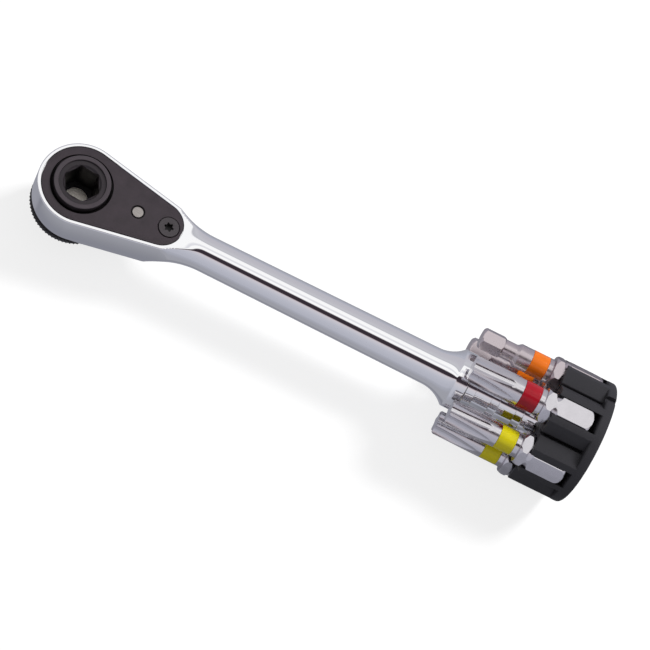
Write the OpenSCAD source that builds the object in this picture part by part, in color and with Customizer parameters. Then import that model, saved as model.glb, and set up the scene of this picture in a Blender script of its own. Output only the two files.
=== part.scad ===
// Small reversible ratchet wrench for 6.35 mm hex bits, with a turning bit carousel on its end.
// X runs along the handle, Z points out of the drive socket, and the origin is on the drive
// axis at the face of the cover plate. All sizes are in millimetres.

/* [Shown] */
// which sub-part is drawn, or all of them

/* [Head] */
// radius of the round end of the forged head
head_r = 8.5; // [8.4:0.1:9.4]
// thickness of the forged head
head_h = 8; // [7.8:0.1:9]
// angle between each straight side of the head and the handle axis
taper_deg = 11.4; // [10.6:0.2:12.2]
// width of the bright rim around the cover plate
rim_w = 0.9; // [0.7:0.05:1]
// distance from the drive axis to the centre of the cover plate's small end
plate_tail_x = 16.6; // [16.2:0.1:17]
// thickness of the cover plate
plate_t = 1.2; // [1:0.1:1.3]
// wall under the gear
floor_t = 1; // [0.8:0.1:1.2]
// gap between the cover plate and the head around it
plate_gap = 0.03; // [0.02:0.01:0.05]

/* [Drive] */
// radius over the tips of the ratchet teeth
gear_tip_r = 5.95; // [5.85:0.05:6.05]
// depth of the ratchet teeth
tooth_depth = 0.4; // [0.3:0.05:0.5]
// number of ratchet teeth
tooth_count = 48; // [36:4:60]
// radius of the round boss that stands out of the plate
boss_r = 5.5; // [5.4:0.05:5.55]
// height of the boss above the plate
boss_h = 1; // [0.8:0.1:1.2]
// radius of the shallow recess in the boss
recess_r = 4.6; // [4.4:0.05:4.8]
// depth of the shallow recess
recess_depth = 0.4; // [0.3:0.05:0.5]
// size across the flats of the bit socket
socket_af = 6.45; // [6.4:0.01:6.5]
// depth of the socket below the plate face
socket_depth = 7; // [6.6:0.1:7.1]
// turn of the socket about the drive axis in the stored pose
socket_turn = -4.5; // [-30:0.5:30]
// radius of the magnet at the bottom of the socket
magnet_r = 2.4; // [2.2:0.05:2.6]
// length of the magnet
magnet_h = 1.5; // [1.2:0.1:1.6]

/* [Thumb wheel] */
// how far the knurl of the thumb wheel stands out past the head
wheel_proud = 0; // [-0.3:0.1:0.2]
// thickness of the thumb wheel
wheel_t = 1.6; // [1.5:0.1:1.8]
// number of knurl ridges around the thumb wheel
knurl_count = 72; // [60:4:80]
// depth of the knurl
knurl_depth = 0.3; // [0.2:0.05:0.35]
// radius of the retaining ring that holds the thumb wheel
clip_r = 4.4; // [4.2:0.1:4.6]

/* [Reversing lever] */
// distance from the drive axis to the lever shaft
pin_x = 11.8; // [11.7:0.1:12]
// radius of the lever shaft
pin_r = 1.1; // [1:0.05:1.2]
// full travel of the lever between its two settings
lever_travel = 16; // [14:1:17]
// length of the lever's tail from the shaft
lever_reach = 6; // [5:0.5:7]
// radius of the lever's round end
lever_r = 2.6; // [2.3:0.1:2.7]
// half width of the pawl
pawl_half_w = 2.6; // [2.4:0.1:2.7]
// radius of the detent ball
ball_r = 0.75; // [0.6:0.05:0.8]
// length of the detent spring
spring_l = 3.2; // [2.8:0.1:3.6]

/* [Cover screw] */
// distance from the drive axis to the cover screw
screw_x = 18.3; // [18.1:0.1:18.5]
// radius of the screw's countersunk head
screw_head_r = 2.1; // [1.9:0.05:2.2]
// radius of the screw's shank
screw_r = 1; // [0.8:0.05:1.05]
// length of the screw below the plate face
screw_l = 4.2; // [3.8:0.1:4.5]

/* [Handle] */
// depth of the handle axis below the plate face
axis_drop = 3.2; // [3.1:0.05:3.3]
// radius of the handle next to the neck
handle_r = 3.6; // [3.4:0.05:3.7]
// radius of the handle just before its flare
handle_end_r = 3.85; // [3.75:0.05:4]
// where the neck ends and the round handle begins
neck_x = 27; // [26:0.5:28]
// radius of the hollow curve of the neck
neck_arc_r = 16.8; // [16:0.2:17.6]
// where the flare begins
flare_x = 75.2; // [74.5:0.1:76]
// where the flare reaches the collar
collar_x = 80.2; // [80:0.1:80.6]
// radius of the collar
collar_r = 6; // [5.85:0.05:6.1]
// width of the collar
collar_w = 2.6; // [2.2:0.1:3]
// radius of the rounded edges of the collar
collar_round = 0.6; // [0.4:0.05:0.7]
// width of the lower ring behind the collar
back_ring_w = 1.9; // [1.5:0.1:2.3]
// radius of the lower ring at its sharp rear edge
back_ring_r = 5.15; // [4.9:0.05:5.2]
// radius of the stem that the carousel turns on
stem_r = 4.4; // [4.2:0.05:4.5]
// width of each groove around the stem
groove_w = 1.7; // [1.4:0.1:1.9]
// depth of each groove around the stem
groove_depth = 0.5; // [0.3:0.05:0.6]

/* [Carousel] */
// radius of the carousel's end disc
disc_r = 12.7; // [12.65:0.05:13.2]
// thickness of the end disc
disc_t = 2.1; // [1.9:0.1:2.5]
// where the pockets end against the disc
pocket_end_x = 107.2; // [107.1:0.1:107.6]
// length of the fingers in front of the disc
finger_l = 8.8; // [8.2:0.1:9]
// distance from the rim of the end disc in to the axis of each bit
bit_inset = 3.3; // [3.25:0.05:3.35]
// number of pockets
pocket_count = 6; // [6:1:6]
// angle of the first pocket about the handle axis in the stored pose
first_pocket_deg = 96.3; // [90:0.1:102]
// wall of each finger
finger_wall = 1.15; // [1:0.05:1.25]
// play between a bit's flat and its pocket
pocket_gap = 0.05; // [0.03:0.01:0.08]
// depth of the locating notch in the disc's rim
notch_depth = 0.8; // [0.6:0.1:1]
// radius of the round section of the friction ring
ring_section_r = 0.5; // [0.4:0.02:0.52]

/* [Bits] */
// size across the flats of each shank
shank_af = 6.35; // [6.3:0.01:6.4]
// length of each bit
bit_l = 25; // [24.6:0.1:25.2]
// length of the hexagonal shank
shank_l = 10; // [9.6:0.1:10.4]
// gap between the end of a stored bit and its pocket's end
bit_end_gap = 0.9; // [0.8:0.05:1]
// length of the plain collar between shank and band
bit_collar_l = 1.1; // [0.9:0.1:1.3]
// width of the coloured band
band_w = 3.5; // [3.2:0.1:3.8]
// thickness of the coloured band
band_t = 0.2; // [0.15:0.05:0.3]
// body radius of the large bits
big_bit_r = 2.75; // [2.65:0.05:2.8]
// body radius of the small bits
small_bit_r = 2.45; // [2.35:0.05:2.5]
// length over which the flutes of a star bit run out
flute_l = 9.2; // [8.6:0.1:9.6]
// radius of each flute
flute_r = 1.15; // [1:0.05:1.25]
// depth of each flute at the tip
flute_depth = 0.75; // [0.6:0.05:0.8]
// length of the hexagonal tip of a hex bit
key_l = 4.6; // [4.2:0.1:5]
// length of the reduced neck behind a hexagonal tip
key_neck_l = 3.2; // [3:0.1:3.4]
// size across the flats of the small hexagonal tip
small_key_af = 4; // [3.8:0.05:4.1]
// size across the flats of the large hexagonal tip
large_key_af = 5; // [4.8:0.05:5.1]

/* [Hidden] */
$fn = 96;
// overrun of every cut past the face that it opens
over = 1;
// play of a running fit, at the radius
run = 0.05;
// play of a fixed fit, at the radius
fixed = 0.02;
// how far a straight side is set into the round that it runs on from
tuck = 0.01;
full_turn = 360;
hex_sides = 6;
half_share = 0.5;
hex_corner_share = 1 / sqrt(3);
plate_r = head_r - rim_w;
wheel_r = head_r + wheel_proud;
wheel_top_z = -head_h - 2 * run;
wheel_bottom_z = wheel_top_z - wheel_t;
cavity_r = gear_tip_r + 7 * run;
cavity_floor_z = -head_h + floor_t;
hub_r = gear_tip_r - 1.1;
spigot_r = magnet_r + 1.2;
clip_t = 0.28;
clip_recess = 0.6;
plate_bore_r = boss_r + run;
pawl_pocket_r = 3.3;
pawl_pocket_half_w = 4;
pawl_tail_r = 2.6;
lever_rest = lever_travel * half_share;
detent_z = -6;
detent_bore_r = ball_r + run;
ball_x = pin_x + pawl_tail_r + run + ball_r;
spring_x = ball_x + ball_r + run;
spring_r = ball_r - 2 * run;
spring_wall = 0.3;
shoulder_x = plate_tail_x + 2.4;
shoulder_y = (head_r - shoulder_x * sin(taper_deg)) / cos(taper_deg);
collar_end_x = collar_x + collar_w;
bit_end_x = pocket_end_x - bit_end_gap;
bit_tip_x = bit_end_x - bit_l;
finger_x = pocket_end_x - finger_l;
stem_end_x = pocket_end_x - 1;
ring_x = pocket_end_x - finger_l * half_share;
groove_a_x = 88.2;
groove_b_x = 93.4;
pocket_af = shank_af + 2 * pocket_gap;
disc_round = 0.7;
slot_w = shank_af * hex_corner_share;
bit_ring_r = disc_r - bit_inset;
hub_ring_r = bit_ring_r - finger_wall;
shank_chamfer = 0.7;
lead_share = 0.8;
star_lobes = 6;

// Lays what is drawn along Z onto the handle axis, with its X towards +Y and its Y towards +Z.
module on_handle_axis() {
    translate([0, 0, -axis_drop])
        rotate([90, 0, 90])
            children();
}

// Hexagon with a flat facing along X.
module hexagon(af) {
    rotate(half_share * full_turn / hex_sides)
        circle(r = af * hex_corner_share, $fn = hex_sides);
}

// Round end of radius r with two straight sides that close in at the taper angle up to x = reach.
module tapered_head(r, reach) {
    line_r = r - tuck;
    side_y = (line_r - reach * sin(taper_deg)) / cos(taper_deg);
    foot = [line_r * sin(taper_deg), line_r * cos(taper_deg)];
    circle(r = r);
    polygon([
        [0, 0],
        [foot[0], -foot[1]],
        [reach, -side_y],
        [reach, side_y],
        foot
    ]);
}

// Teardrop of the cover plate: big round end, small round end and the two lines that touch both.
module plate_outline(grow) {
    big = plate_r + grow;
    small = plate_r - plate_tail_x * sin(taper_deg) + grow;
    tapered_head(big, plate_tail_x + (small - tuck) * sin(taper_deg));
    translate([plate_tail_x, 0])
        circle(r = small);
}

// Space for the pawl, from the gear's cavity to behind the lever shaft.
module pawl_pocket_outline() {
    polygon([
        [0, -pawl_pocket_half_w],
        [pin_x, -pawl_pocket_r],
        [pin_x, pawl_pocket_r],
        [0, pawl_pocket_half_w]
    ]);
    translate([pin_x, 0])
        circle(r = pawl_pocket_r);
}

// Turned shape of handle, flare, collar, back ring and stem, with the hollow curve of the neck in front.
module turned_profile() {
    wide = 3 * head_r;
    difference() {
        translate([0, -wide])
            square([wide, neck_x + wide]);
        translate([handle_r + neck_arc_r - tuck, neck_x])
            circle(r = neck_arc_r);
    }
    polygon([
        [0, neck_x - over],
        [handle_r, neck_x - over],
        [handle_r, neck_x],
        [handle_end_r, flare_x],
        [handle_end_r, flare_x + over],
        [0, flare_x + over]
    ]);
    flare_profile();
    translate([0, collar_x - over])
        square([collar_r - collar_round, collar_w - collar_round + over]);
    translate([0, collar_x])
        square([collar_r, collar_w - collar_round]);
    translate([collar_r - collar_round, collar_end_x - collar_round])
        circle(r = collar_round);
    polygon([
        [0, collar_x],
        [collar_r - collar_round, collar_end_x - collar_round],
        [back_ring_r, collar_end_x + back_ring_w],
        [0, collar_end_x + back_ring_w]
    ]);
    translate([0, collar_x])
        square([stem_r, stem_end_x - collar_x]);
}

// Trumpet flare: a hollow quarter curve from the handle out to the collar.
module flare_profile() {
    rise = collar_r - handle_end_r;
    run_x = collar_x - flare_x;
    arc_r = (rise * rise + run_x * run_x) / (2 * rise);
    difference() {
        translate([0, flare_x])
            square([collar_r, run_x + collar_round]);
        translate([handle_end_r + arc_r - tuck, flare_x])
            circle(r = arc_r);
    }
}

module ratchet_body() {
    core_start_x = neck_x - 9;
    core_r = handle_r - 1.2;
    core_end_x = neck_x + 3;
    color("silver")
        difference() {
            intersection() {
                on_handle_axis()
                    rotate_extrude()
                        turned_profile();
                union() {
                    translate([0, 0, -head_h])
                        linear_extrude(head_h) {
                            tapered_head(head_r, shoulder_x);
                            translate([shoulder_x - over, -shoulder_y])
                                square([neck_x + 2 * over - shoulder_x, 2 * shoulder_y]);
                        }
                    on_handle_axis()
                        translate([0, 0, core_start_x])
                            cylinder(h = core_end_x - core_start_x, r1 = core_r, r2 = handle_r + 0.8);
                    on_handle_axis()
                        translate([0, 0, core_end_x - over])
                            cylinder(h = stem_end_x, r = head_r);
                }
            }
            translate([0, 0, -plate_t])
                linear_extrude(plate_t + over)
                    plate_outline(plate_gap);
            translate([0, 0, cavity_floor_z])
                cylinder(h = head_h, r = cavity_r);
            translate([0, 0, cavity_floor_z])
                linear_extrude(head_h - floor_t - plate_t + over)
                    pawl_pocket_outline();
            translate([0, 0, -head_h - over])
                cylinder(h = head_h, r = hub_r + run);
            translate([pin_x, 0, -head_h - over])
                cylinder(h = head_h, r = pin_r + run);
            translate([screw_x, 0, -screw_l - fixed])
                cylinder(h = head_h, r = screw_r + fixed);
            translate([pin_x, 0, detent_z])
                rotate([0, 90, 0])
                    cylinder(h = spring_x + spring_l + run - pin_x, r = detent_bore_r);
            stem_groove(groove_a_x, groove_w, groove_depth);
            stem_groove(groove_b_x, groove_w, groove_depth);
            stem_groove(ring_x - ring_section_r - fixed, 2 * (ring_section_r + fixed), ring_section_r + fixed);
        }
}

// Square groove around the stem.
module stem_groove(x, w, depth) {
    on_handle_axis()
        translate([0, 0, x])
            difference() {
                cylinder(h = w, r = stem_r + over);
                translate([0, 0, -over])
                    cylinder(h = w + 2 * over, r = stem_r - depth);
            }
}

module cover_plate() {
    color("dimgray")
        difference() {
            translate([0, 0, -plate_t])
                linear_extrude(plate_t)
                    plate_outline(0);
            translate([0, 0, -plate_t - over])
                cylinder(h = plate_t + 2 * over, r = plate_bore_r);
            translate([pin_x, 0, -plate_t - over])
                cylinder(h = plate_t + 2 * over, r = pin_r + 2 * run);
            translate([screw_x, 0, -plate_t - over])
                cylinder(h = plate_t + 2 * over, r = screw_r + run);
            translate([screw_x, 0, 0])
                screw_head(run);
        }
}

// Countersunk cone of the cover screw, a little larger for the seat that it sits in.
module screw_head(grow) {
    depth = screw_head_r - screw_r;
    translate([0, 0, -depth])
        cylinder(h = depth, r1 = screw_r + grow, r2 = screw_head_r + grow);
}

module cover_screw() {
    lobe_r = 0.28;
    lobe_ring_r = 0.62;
    socket_h = 0.9;
    color("black")
        translate([screw_x, 0, 0])
            difference() {
                union() {
                    screw_head(0);
                    translate([0, 0, -screw_l])
                        cylinder(h = screw_l - half_share * screw_head_r, r = screw_r);
                }
                translate([0, 0, -socket_h])
                    linear_extrude(socket_h + over) {
                        circle(r = lobe_ring_r);
                        for (i = [0 : star_lobes - 1])
                            rotate(i * full_turn / star_lobes)
                                translate([lobe_ring_r, 0])
                                    circle(r = lobe_r);
                    }
            }
}

// Circle with V cuts all around it.
module notched_circle(r, depth, count) {
    cut_r = depth * 2 * hex_corner_share;
    difference() {
        circle(r = r);
        for (i = [0 : count - 1])
            rotate(i * full_turn / count)
                translate([r + cut_r - depth, 0])
                    rotate(full_turn / 2)
                        circle(r = cut_r, $fn = 3);
    }
}

module drive_gear() {
    gear_top_z = -plate_t - run;
    gear_bottom_z = cavity_floor_z + run;
    mouth_z = boss_h - recess_depth;
    mouth_r = socket_af * hex_corner_share;
    mouth_h = 0.3;
    color("dimgray")
        difference() {
            union() {
                translate([0, 0, gear_bottom_z])
                    linear_extrude(gear_top_z - gear_bottom_z)
                        notched_circle(gear_tip_r, tooth_depth, tooth_count);
                translate([0, 0, gear_bottom_z])
                    cylinder(h = boss_h - gear_bottom_z, r = boss_r);
                translate([0, 0, wheel_top_z + run])
                    cylinder(h = gear_bottom_z - wheel_top_z, r = hub_r);
                translate([0, 0, wheel_bottom_z + run])
                    cylinder(h = head_h, r = spigot_r);
            }
            translate([0, 0, mouth_z])
                cylinder(h = boss_h, r = recess_r);
            rotate(socket_turn)
                translate([0, 0, -socket_depth])
                    linear_extrude(socket_depth + boss_h + over)
                        circle(r = mouth_r, $fn = hex_sides);
            translate([0, 0, mouth_z - mouth_h])
                cylinder(h = mouth_h, r1 = mouth_r - mouth_h, r2 = mouth_r);
            translate([0, 0, -socket_depth - magnet_h])
                cylinder(h = magnet_h + over, r = magnet_r + fixed);
            translate([0, 0, wheel_bottom_z + clip_recess - clip_t - 2 * fixed])
                difference() {
                    cylinder(h = clip_t + 2 * fixed, r = spigot_r + over);
                    translate([0, 0, -over])
                        cylinder(h = clip_t + 2 * over, r = spigot_r - clip_t);
                }
        }
}

module socket_magnet() {
    color("gray")
        translate([0, 0, -socket_depth - magnet_h])
            cylinder(h = magnet_h, r = magnet_r);
}

module thumb_wheel() {
    color("dimgray")
        translate([0, 0, wheel_bottom_z])
            difference() {
                linear_extrude(wheel_t)
                    notched_circle(wheel_r, knurl_depth, knurl_count);
                translate([0, 0, -over])
                    cylinder(h = wheel_t + 2 * over, r = spigot_r + fixed);
                translate([0, 0, -over])
                    cylinder(h = clip_recess + over, r = clip_r + 4 * run);
            }
}

module wheel_clip() {
    gap_w = 1.6;
    color("gray")
        translate([0, 0, wheel_bottom_z + clip_recess - clip_t - fixed])
            difference() {
                cylinder(h = clip_t, r = clip_r);
                translate([0, 0, -over])
                    cylinder(h = clip_t + 2 * over, r = spigot_r - clip_t + fixed);
                translate([0, -half_share * gap_w, -over])
                    cube([clip_r + over, gap_w, clip_t + 2 * over]);
            }
}

// Turns what the lever carries from its middle setting to the stored one.
module at_lever() {
    translate([pin_x, 0, 0])
        rotate(lever_rest)
            children();
}

module lever_shaft() {
    color("silver")
        translate([pin_x, 0, wheel_bottom_z + run])
            cylinder(h = -wheel_bottom_z - run, r = pin_r);
}

module reverse_lever() {
    tail_r = lever_r * 0.55;
    lean = asin((lever_r - tail_r) / lever_reach);
    root = [(lever_r - tuck) * sin(lean), (lever_r - tuck) * cos(lean)];
    end = [lever_reach + (tail_r - tuck) * sin(lean), (tail_r - tuck) * cos(lean)];
    color("dimgray")
        at_lever()
            translate([0, 0, wheel_bottom_z])
                difference() {
                    linear_extrude(wheel_t) {
                        circle(r = lever_r);
                        translate([lever_reach, 0])
                            circle(r = tail_r);
                        polygon([[root[0], -root[1]], [end[0], -end[1]], end, root]);
                    }
                    translate([0, 0, -over])
                        cylinder(h = wheel_t + 2 * over, r = pin_r + fixed);
                }
}

module pawl() {
    steps = 4;
    tooth_cuts = 3;
    tooth_pitch = full_turn / tooth_count;
    pawl_h = head_h - floor_t - plate_t - 2 * run;
    nose_x = 4.5;
    notch_offset = 20;
    notch_r = 0.3;
    color("gray")
        at_lever()
            translate([0, 0, cavity_floor_z + run])
                difference() {
                    linear_extrude(pawl_h)
                        difference() {
                            union() {
                                circle(r = pawl_tail_r);
                                translate([nose_x - pin_x, -pawl_half_w])
                                    square([pin_x - nose_x, 2 * pawl_half_w]);
                            }
                            for (i = [0 : steps])
                                rotate(-lever_rest + i * lever_travel / steps)
                                    translate([-pin_x, 0])
                                        circle(r = gear_tip_r + 2 * run);
                            for (side = [-1, 1])
                                for (i = [0 : tooth_cuts - 1])
                                    rotate(side * lever_rest)
                                        translate([-pin_x, 0])
                                            rotate(-side * (10 + i * tooth_pitch))
                                                translate([gear_tip_r + 2 * run, 0])
                                                    circle(r = tooth_depth, $fn = 3);
                            for (side = [-1, 1])
                                rotate(side * notch_offset)
                                    translate([pawl_tail_r, 0])
                                        circle(r = notch_r);
                        }
                    translate([0, 0, -over])
                        cylinder(h = pawl_h + 2 * over, r = pin_r + fixed);
                }
}

module detent_ball() {
    color("silver")
        translate([ball_x, 0, detent_z])
            sphere(r = ball_r);
}

module detent_spring() {
    color("silver")
        translate([spring_x, 0, detent_z])
            rotate([0, 90, 0])
                difference() {
                    cylinder(h = spring_l, r = spring_r);
                    translate([0, 0, -over])
                        cylinder(h = spring_l + 2 * over, r = spring_r - spring_wall);
                }
}

// Places what is drawn at a pocket, with its X pointing straight out from the handle axis.
module at_pocket(i) {
    on_handle_axis()
        rotate(first_pocket_deg + i * full_turn / pocket_count)
            translate([bit_ring_r, 0, 0])
                children();
}

module bit_carousel() {
    finger_af = pocket_af + 2 * finger_wall;
    notch_w = 1.3;
    color("black")
        difference() {
            union() {
                on_handle_axis()
                    translate([0, 0, pocket_end_x])
                        rotate_extrude()
                            disc_profile();
                intersection() {
                    union() {
                        on_handle_axis()
                            translate([0, 0, finger_x])
                                cylinder(h = finger_l + disc_round, r = hub_ring_r);
                        for (i = [0 : pocket_count - 1])
                            at_pocket(i)
                                translate([0, 0, finger_x])
                                    linear_extrude(finger_l + disc_round)
                                        hexagon(finger_af);
                    }
                    on_handle_axis()
                        translate([0, 0, finger_x - over])
                            cylinder(h = finger_l + 2 * over, r = disc_r - 2 * fixed);
                }
            }
            for (i = [0 : pocket_count - 1])
                at_pocket(i)
                    translate([0, 0, finger_x - over])
                        linear_extrude(finger_l + over) {
                            hexagon(pocket_af);
                            translate([0, -half_share * slot_w])
                                square([disc_r, slot_w]);
                        }
            on_handle_axis()
                translate([0, 0, finger_x - over])
                    cylinder(h = stem_end_x + 2 * run - finger_x + over, r = stem_r + run);
            on_handle_axis()
                translate([0, 0, ring_x])
                    rotate_extrude()
                        translate([stem_r, 0])
                            circle(r = ring_section_r + fixed);
            on_handle_axis()
                rotate(first_pocket_deg - half_share * full_turn / pocket_count)
                    translate([disc_r - notch_depth, -half_share * notch_w, pocket_end_x - over])
                        cube([disc_r, notch_w, disc_t + 2 * over]);
        }
}

// Half section of the end disc, with both outer edges rounded.
module disc_profile() {
    square([disc_r - disc_round, disc_t]);
    translate([0, disc_round])
        square([disc_r, disc_t - 2 * disc_round]);
    for (h = [disc_round, disc_t - disc_round])
        translate([disc_r - disc_round, h])
            circle(r = disc_round);
}

module friction_ring() {
    color("black")
        on_handle_axis()
            translate([0, 0, ring_x])
                rotate_extrude()
                    translate([stem_r, 0])
                        circle(r = ring_section_r);
}

// Shank, collar and seat of the band, shared by all bits. The tip lies at z = 0.
module bit_back(body_r) {
    shank_z = bit_l - shank_l;
    band_z = shank_z - bit_collar_l - band_w;
    corner_r = shank_af * hex_corner_share;
    notch_z = shank_z + 2.2;
    notch_r = 0.8;
    intersection() {
        translate([0, 0, shank_z])
            linear_extrude(shank_l)
                hexagon(shank_af);
        rotate_extrude()
            difference() {
                polygon([
                    [0, 0],
                    [half_share * shank_af, shank_z],
                    [corner_r + over, shank_z + shank_chamfer],
                    [corner_r + over, bit_l - 2 * shank_chamfer],
                    [corner_r - shank_chamfer, bit_l],
                    [0, bit_l]
                ]);
                translate([half_share * shank_af + notch_r, notch_z])
                    circle(r = notch_r);
            }
    }
    translate([0, 0, band_z + band_w])
        cylinder(h = bit_collar_l + over, r = body_r);
    translate([0, 0, band_z - over])
        cylinder(h = band_w + 2 * over, r = body_r - band_t);
}

// Star bit: a round body with six flutes that run out towards the band.
module star_bit(body_r) {
    body_l = bit_l - shank_l - bit_collar_l - band_w;
    tilt = atan(flute_depth / flute_l);
    tip_chamfer = 0.3;
    bit_back(body_r);
    difference() {
        union() {
            cylinder(h = tip_chamfer, r1 = body_r - tip_chamfer, r2 = body_r);
            translate([0, 0, tip_chamfer])
                cylinder(h = body_l - tip_chamfer, r = body_r);
        }
        for (i = [0 : star_lobes - 1])
            rotate(i * full_turn / star_lobes)
                translate([body_r + flute_r - flute_depth, 0, 0])
                    rotate([0, tilt, 0])
                        translate([0, 0, -over])
                            cylinder(h = flute_l + 2 * over, r = flute_r);
    }
}

// Hex bit: a chamfered hexagonal tip, a reduced neck and a shoulder before the band.
module key_bit(body_r, af) {
    body_l = bit_l - shank_l - bit_collar_l - band_w;
    corner_r = af * hex_corner_share;
    neck_r = half_share * af - 0.15;
    shoulder_r = body_r - band_t;
    shoulder_h = 0.6;
    bit_back(body_r);
    intersection() {
        linear_extrude(key_l)
            hexagon(af);
        rotate_extrude()
            polygon([
                [0, 0],
                [lead_share * corner_r, 0],
                [corner_r + over, corner_r * (1 - lead_share) + over],
                [corner_r + over, key_l - corner_r + neck_r - over],
                [neck_r, key_l],
                [0, key_l]
            ]);
    }
    translate([0, 0, key_l - over])
        cylinder(h = body_l - key_l + over, r = neck_r);
    translate([0, 0, key_l + key_neck_l - shoulder_h])
        cylinder(h = shoulder_h, r1 = neck_r, r2 = shoulder_r);
    translate([0, 0, key_l + key_neck_l])
        cylinder(h = body_l - key_l - key_neck_l, r = shoulder_r);
}

module bit_band(i, body_r) {
    at_pocket(i)
        translate([0, 0, bit_end_x - shank_l - bit_collar_l - band_w])
            difference() {
                cylinder(h = band_w, r = body_r);
                translate([0, 0, -over])
                    cylinder(h = band_w + 2 * over, r = body_r - band_t);
            }
}

module stored_star(i, body_r) {
    color("silver")
        at_pocket(i)
            translate([0, 0, bit_tip_x])
                star_bit(body_r);
}

module stored_key(i, body_r, af) {
    color("silver")
        at_pocket(i)
            translate([0, 0, bit_tip_x])
                key_bit(body_r, af);
}

module bit_1() {
    stored_star(0, big_bit_r);
}

module bit_1_band() {
    color("red")
        bit_band(0, big_bit_r);
}

module bit_2() {
    stored_star(1, small_bit_r);
}

module bit_2_band() {
    color("yellow")
        bit_band(1, small_bit_r);
}

module bit_3() {
    stored_star(2, small_bit_r);
}

module bit_3_band() {
    color("yellow")
        bit_band(2, small_bit_r);
}

module bit_4() {
    stored_star(3, big_bit_r);
}

module bit_4_band() {
    color("red")
        bit_band(3, big_bit_r);
}

module bit_5() {
    stored_key(4, big_bit_r, large_key_af);
}

module bit_5_band() {
    color("orange")
        bit_band(4, big_bit_r);
}

module bit_6() {
    stored_key(5, small_bit_r, small_key_af);
}

module bit_6_band() {
    color("orange")
        bit_band(5, small_bit_r);
}

ratchet_body();
cover_plate();
cover_screw();
drive_gear();
socket_magnet();
thumb_wheel();
wheel_clip();
lever_shaft();
reverse_lever();
pawl();
detent_ball();
detent_spring();
bit_carousel();
friction_ring();
bit_1();
bit_1_band();
bit_2();
bit_2_band();
bit_3();
bit_3_band();
bit_4();
bit_4_band();
bit_5();
bit_5_band();
bit_6();
bit_6_band();
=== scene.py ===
import math

import bmesh
import bpy
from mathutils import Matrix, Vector


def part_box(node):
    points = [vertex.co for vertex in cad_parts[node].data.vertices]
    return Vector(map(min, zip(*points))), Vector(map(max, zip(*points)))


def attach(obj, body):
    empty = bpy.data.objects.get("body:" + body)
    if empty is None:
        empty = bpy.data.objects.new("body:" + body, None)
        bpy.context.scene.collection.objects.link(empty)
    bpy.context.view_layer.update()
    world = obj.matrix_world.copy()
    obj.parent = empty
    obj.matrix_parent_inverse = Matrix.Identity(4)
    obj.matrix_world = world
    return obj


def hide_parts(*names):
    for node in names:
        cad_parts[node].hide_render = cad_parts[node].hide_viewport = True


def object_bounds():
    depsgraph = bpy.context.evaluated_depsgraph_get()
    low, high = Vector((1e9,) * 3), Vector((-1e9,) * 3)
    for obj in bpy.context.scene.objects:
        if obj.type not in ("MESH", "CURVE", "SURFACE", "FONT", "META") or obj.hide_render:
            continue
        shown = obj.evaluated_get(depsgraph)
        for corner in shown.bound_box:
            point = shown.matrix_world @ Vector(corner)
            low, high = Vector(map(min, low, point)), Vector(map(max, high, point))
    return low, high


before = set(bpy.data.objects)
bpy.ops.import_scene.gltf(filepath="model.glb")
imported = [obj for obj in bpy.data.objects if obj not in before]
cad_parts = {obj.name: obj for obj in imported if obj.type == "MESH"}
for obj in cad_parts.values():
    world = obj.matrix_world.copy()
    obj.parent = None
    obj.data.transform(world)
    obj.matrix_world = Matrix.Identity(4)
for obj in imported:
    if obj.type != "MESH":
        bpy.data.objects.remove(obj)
cad_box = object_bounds()
scene = bpy.context.scene
scene.view_settings.view_transform = "Standard"

# Camera. It looks down on the tool from the front, as a product camera on a stand does.
# Its place, turn and lens were fitted to the head, the handle and the carousel together.
mm = 0.001
camera_place = Vector((8.152, -207.914, 434.609)) * mm
camera_turn_deg = (20.849, -15.351, 22.410)
camera_lens = 140.538
camera_sensor_w = 36
camera_near = 0.01
camera = bpy.data.objects.new("camera", bpy.data.cameras.new("camera"))
camera.location = camera_place
camera.rotation_euler = [math.radians(a) for a in camera_turn_deg]
camera.data.lens = camera_lens
camera.data.sensor_width = camera_sensor_w
camera.data.clip_start = camera_near
scene.collection.objects.link(camera)
scene.camera = camera

# Studio. Long soft strips of light lie along the tool, with a dark gap between them where the
# camera stands. Chrome shows the strips, plain surfaces get an even pale fill, and the camera
# sees white paper. Two soft lamps, which chrome doesn't show, make the shadow.
fill_colour = (0.98, 0.98, 1, 1)
fill_strength = 0.30
paper_white = (1, 1, 1, 1)
# Height angle of a strip in degrees, from the far side up and over to the near side, and colour.
studio_strips = (
    (0, (0.50, 0.49, 0.54)),
    (30, (0.52, 0.51, 0.56)),
    (46, (0.56, 0.56, 0.60)),
    (55, (0.50, 0.50, 0.54)),
    (58, (0.97, 0.97, 0.98)),
    (74, (0.99, 0.99, 0.99)),
    (80, (0.76, 0.76, 0.80)),
    (85, (0.76, 0.76, 0.80)),
    (88, (1.00, 1.00, 1.00)),
    (99, (1.00, 1.00, 1.00)),
    (102, (0.30, 0.27, 0.30)),
    (104, (0.035, 0.026, 0.035)),
    (123, (0.035, 0.026, 0.035)),
    (127, (0.60, 0.52, 0.55)),
    (131, (0.60, 0.58, 0.63)),
    (152, (0.50, 0.51, 0.58)),
    (180, (0.45, 0.46, 0.53)),
)
# Name, place, width and power of each lamp.
lamps = (
    ("key", (0.42, 0.42, 0.62), 0.22, 5.6),
    ("front", (-0.3, -0.45, 0.6), 0.35, 0.7),
)


def feed(node, **values):
    """Sets a node's inputs and settings. An input is linked where its value is another's output."""
    for key, value in values.items():
        socket = node.inputs.get(key.replace("_", " "))
        if socket is None:
            setattr(node, key, value)
        elif isinstance(value, bpy.types.NodeSocket):
            node.id_data.links.new(value, socket)
        else:
            socket.default_value = value
    return node


def add(tree, kind, **values):
    """A new node in the tree, with its values."""
    return feed(tree.nodes.new(kind), **values)


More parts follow.
